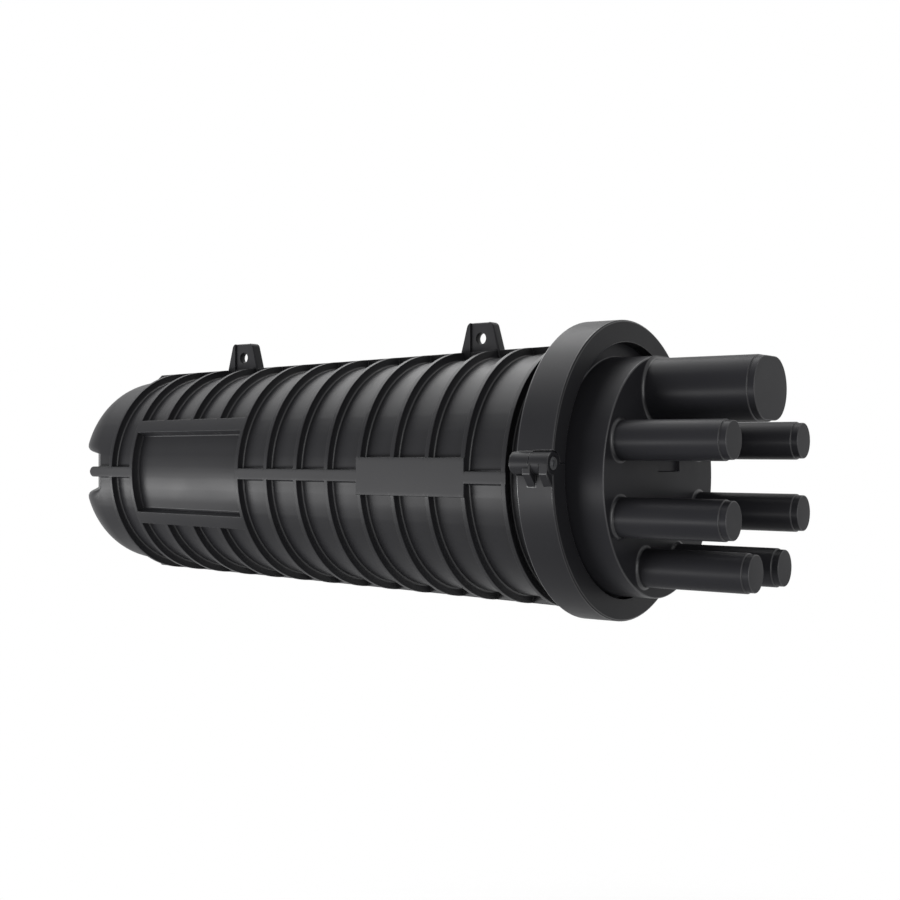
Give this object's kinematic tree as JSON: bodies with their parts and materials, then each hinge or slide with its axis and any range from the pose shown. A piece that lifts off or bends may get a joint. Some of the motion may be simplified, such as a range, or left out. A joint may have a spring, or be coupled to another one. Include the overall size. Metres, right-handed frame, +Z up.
{
  "type": "fibre splice closure",
  "caption": "Ribbed dome splice closure with a hinged clamp ring, an oval port and round ports on its base, hanging lugs on top and hinged splice trays inside.",
  "frame": {"origin": "middle of the front hanging lug's bore", "axes": "+X along the closure towards the ports, +Z up past the hanging lugs, +Y along the lug bores towards the latch side"},
  "size_m": [0.6096, 0.2283, 0.2147],
  "materials": {
    "dome_plastic": "satin black moulded polypropylene with a fine moulded grain",
    "base_plastic": "satin black moulded polypropylene",
    "clamp_plastic": "satin black glass-filled nylon",
    "fastener_steel": "stainless steel",
    "seal_rubber": "soft black silicone",
    "bracket_metal": "plain bent aluminium sheet",
    "tray_plastic": "light grey moulded plastic",
    "holder_rubber": "dark grey rubber comb",
    "cover_plastic": "pale grey gloss sheet",
    "strap_webbing": "black woven hook-and-loop strap"
  },
  "bodies": {
    "closure": {"dome_cover": "dome_plastic", "port_base": "base_plastic", "clamp_upper_half": "clamp_plastic", "hinge_bolt": "fastener_steel", "hinge_nut": "fastener_steel", "latch_pin": "fastener_steel", "bracket_screws": "fastener_steel", "strength_member_screws": "fastener_steel", "tray_hinge_pins": "fastener_steel", "sealing_gasket": "seal_rubber", "tray_bracket": "bracket_metal", "strength_member_clamps": "bracket_metal", "slack_basket": "tray_plastic", "tray_hinge_block": "tray_plastic", "tray_cover": "cover_plastic", "hold_down_strap": "strap_webbing", "splice_tray_1": "tray_plastic", "splice_holder_1": "holder_rubber", "splice_tray_2": "tray_plastic", "splice_holder_2": "holder_rubber", "splice_tray_3": "tray_plastic", "splice_holder_3": "holder_rubber", "splice_tray_4": "tray_plastic", "splice_holder_4": "holder_rubber"},
    "lower_clamp": {"clamp_lower_half": "clamp_plastic"},
    "latch": {"latch_lever": "clamp_plastic"}
  },
  "joints": [
    {"name": "clamp_hinge", "type": "hinge", "parent": "closure", "child": "lower_clamp", "pos_m": [0.1083, -0.104, -0.09178], "axis": [-1, 0, 0], "range_deg": [0, 40]},
    {"name": "latch_pivot", "type": "hinge", "parent": "closure", "child": "latch", "pos_m": [0.1083, 0.1113, -0.06778], "axis": [1, 0, 0], "range_deg": [0, 160]}
  ],
  "couplings": [
    {"joint": "latch_pivot", "follows": "clamp_hinge", "ratio": 4}
  ]
}
